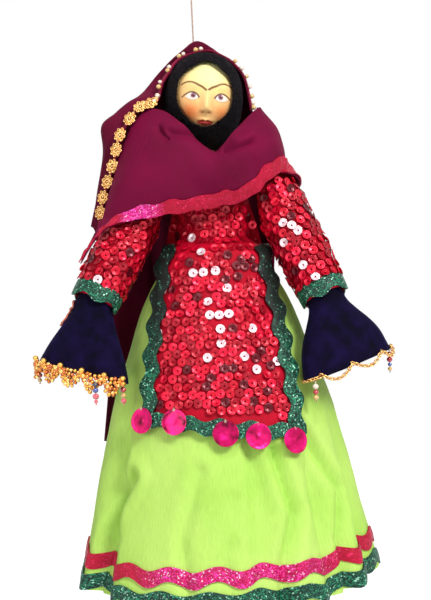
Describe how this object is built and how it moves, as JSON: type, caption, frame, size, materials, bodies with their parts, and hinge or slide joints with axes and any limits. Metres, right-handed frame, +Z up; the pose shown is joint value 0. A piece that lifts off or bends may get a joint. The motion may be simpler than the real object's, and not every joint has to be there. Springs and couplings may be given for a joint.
{
  "type": "topsy turvy doll",
  "caption": "Cloth doll in a veil, shawl, tunic and full skirt, hung by a string from its crown, with another figure head down under the skirt.",
  "frame": {"origin": "the point inside the top of the hanging loop that rests on a hook", "axes": "+Z up along the string, -Y the way the doll faces, +X to the right of someone who looks at its face"},
  "size_m": [0.2446, 0.1661, 0.4457],
  "materials": {
    "black_wool": "fuzzy wool",
    "bodice_cloth": "plain weave",
    "calico": "plain stuffed calico",
    "coral_ribbon": "satin ribbon",
    "glass_beads": "glossy beads",
    "gold_braid": "metallic thread and beads",
    "gold_chain": "bright",
    "green_cloth": "satin weave",
    "green_glitter": "glitter braid",
    "lining_cloth": "plain weave",
    "magenta_foil": "foil, glossy",
    "navy_velvet": "velvet",
    "painted_face": "painted cloth over a hard mask, eggshell",
    "red_glitter": "glitter ribbon",
    "sequins": "sequins on net",
    "string": "twisted thread",
    "veil_cloth": "thin georgette",
    "waist_tape": "woven tape",
    "wine_cloth": "fine wool",
    "wood": "bare"
  },
  "bodies": {
    "string": {"hanging_loop": "string", "loop_knot": "string", "hanging_string": "string"},
    "doll": {"crown_knot": "string", "gold_braid": "gold_braid", "head": "painted_face", "hood": "black_wool", "lower_bodice": "bodice_cloth", "lower_body": "calico", "lower_head": "painted_face", "lower_neck_peg": "wood", "lower_scarf": "wine_cloth", "neck_peg": "wood", "shawl_ribbon": "red_glitter", "shawl_wrap": "wine_cloth", "skirt": "green_cloth", "skirt_hem_trim": "green_glitter", "skirt_lining": "lining_cloth", "skirt_ribbon": "red_glitter", "tunic_back": "sequins", "tunic_back_trim": "green_glitter", "tunic_front": "sequins", "tunic_front_trim": "green_glitter", "upper_body": "calico", "veil": "veil_cloth", "waist_band": "waist_tape"},
    "right_arm": {"right_arm": "calico", "right_sleeve": "sequins", "right_cuff_trim": "green_glitter"},
    "right_bell": {"right_velvet_bell": "navy_velvet", "right_hand": "calico", "right_chain_swags": "gold_chain"},
    "left_arm": {"left_arm": "calico", "left_sleeve": "sequins", "left_cuff_trim": "green_glitter"},
    "left_bell": {"left_velvet_bell": "navy_velvet", "left_hand": "calico", "left_chain_swags": "gold_chain", "left_wrist_ribbon": "coral_ribbon"},
    "left_bead_drop_1": {"left_bead_drop_1": "glass_beads"},
    "left_bead_drop_2": {"left_bead_drop_2": "glass_beads"},
    "left_bead_drop_3": {"left_bead_drop_3": "glass_beads"},
    "right_bead_drop_1": {"right_bead_drop_1": "glass_beads"},
    "right_bead_drop_2": {"right_bead_drop_2": "glass_beads"},
    "paillette_1": {"paillette_1": "magenta_foil"},
    "paillette_2": {"paillette_2": "magenta_foil"},
    "paillette_3": {"paillette_3": "magenta_foil"},
    "paillette_4": {"paillette_4": "magenta_foil"},
    "paillette_5": {"paillette_5": "magenta_foil"},
    "lower_left_arm": {"lower_left_arm": "calico"},
    "lower_right_arm": {"lower_right_arm": "calico"}
  },
  "joints": [
    {"name": "string_swivel", "type": "hinge", "parent": "string", "child": "doll", "pos_m": [0, 0, -0.065], "axis": [0, 0, 1], "continuous": true},
    {"name": "right_shoulder", "type": "hinge", "parent": "doll", "child": "right_arm", "pos_m": [0.046, -0.002, -0.1595], "axis": [-1, 0, 0], "range_deg": [0, 60], "deforming": ["shawl_wrap", "veil", "shawl_ribbon", "gold_braid"]},
    {"name": "right_wrist", "type": "hinge", "parent": "right_arm", "child": "right_bell", "pos_m": [0.0808, -0.03183, -0.24612], "axis": [-1, 0, 0], "range_deg": [0, 30]},
    {"name": "left_shoulder", "type": "hinge", "parent": "doll", "child": "left_arm", "pos_m": [-0.031, -0.002, -0.1595], "axis": [-1, 0, 0], "range_deg": [0, 35], "deforming": ["shawl_wrap", "veil", "shawl_ribbon", "gold_braid"]},
    {"name": "left_wrist", "type": "hinge", "parent": "left_arm", "child": "left_bell", "pos_m": [-0.07457, -0.03058, -0.2425], "axis": [-1, 0, 0], "range_deg": [0, 30]},
    {"name": "left_bead_drop_1_swing", "type": "hinge", "parent": "left_bell", "child": "left_bead_drop_1", "pos_m": [-0.11516, -0.02191, -0.28334], "axis": [-1, 0, 0], "range_deg": [-25, 25]},
    {"name": "left_bead_drop_2_swing", "type": "hinge", "parent": "left_bell", "child": "left_bead_drop_2", "pos_m": [-0.07463, -0.05235, -0.29383], "axis": [-1, 0, 0], "range_deg": [-5, 25]},
    {"name": "left_bead_drop_3_swing", "type": "hinge", "parent": "left_bell", "child": "left_bead_drop_3", "pos_m": [-0.05703, -0.04508, -0.29812], "axis": [-1, 0, 0], "range_deg": [-5, 25]},
    {"name": "right_bead_drop_1_swing", "type": "hinge", "parent": "right_bell", "child": "right_bead_drop_1", "pos_m": [0.12373, -0.02147, -0.28413], "axis": [-1, 0, 0], "range_deg": [-25, 25]},
    {"name": "right_bead_drop_2_swing", "type": "hinge", "parent": "right_bell", "child": "right_bead_drop_2", "pos_m": [0.07043, -0.04807, -0.30179], "axis": [-1, 0, 0], "range_deg": [-5, 25]},
    {"name": "paillette_1_flap", "type": "hinge", "parent": "doll", "child": "paillette_1", "pos_m": [-0.04503, -0.04737, -0.31471], "axis": [-0.8413, 0.5259, -0.1249], "range_deg": [0, 60]},
    {"name": "paillette_2_flap", "type": "hinge", "parent": "doll", "child": "paillette_2", "pos_m": [-0.0234, -0.05752, -0.31564], "axis": [-0.9555, 0.2893, -0.0572], "range_deg": [0, 60]},
    {"name": "paillette_3_flap", "type": "hinge", "parent": "doll", "child": "paillette_3", "pos_m": [0.00956, -0.06367, -0.32416], "axis": [-0.9998, -0.0182, 0.0033], "range_deg": [0, 60]},
    {"name": "paillette_4_flap", "type": "hinge", "parent": "doll", "child": "paillette_4", "pos_m": [0.03067, -0.06175, -0.32699], "axis": [-0.9776, -0.2066, 0.0393], "range_deg": [0, 60]},
    {"name": "paillette_5_flap", "type": "hinge", "parent": "doll", "child": "paillette_5", "pos_m": [0.05488, -0.05421, -0.33168], "axis": [-0.8931, -0.4395, 0.0962], "range_deg": [0, 60]},
    {"name": "lower_left_arm_swing", "type": "hinge", "parent": "doll", "child": "lower_left_arm", "pos_m": [-0.0295, 0, -0.2605], "axis": [-1, 0, 0], "range_deg": [-15, 15]},
    {"name": "lower_right_arm_swing", "type": "hinge", "parent": "doll", "child": "lower_right_arm", "pos_m": [0.0445, 0, -0.2605], "axis": [-1, 0, 0], "range_deg": [-15, 15]}
  ]
}
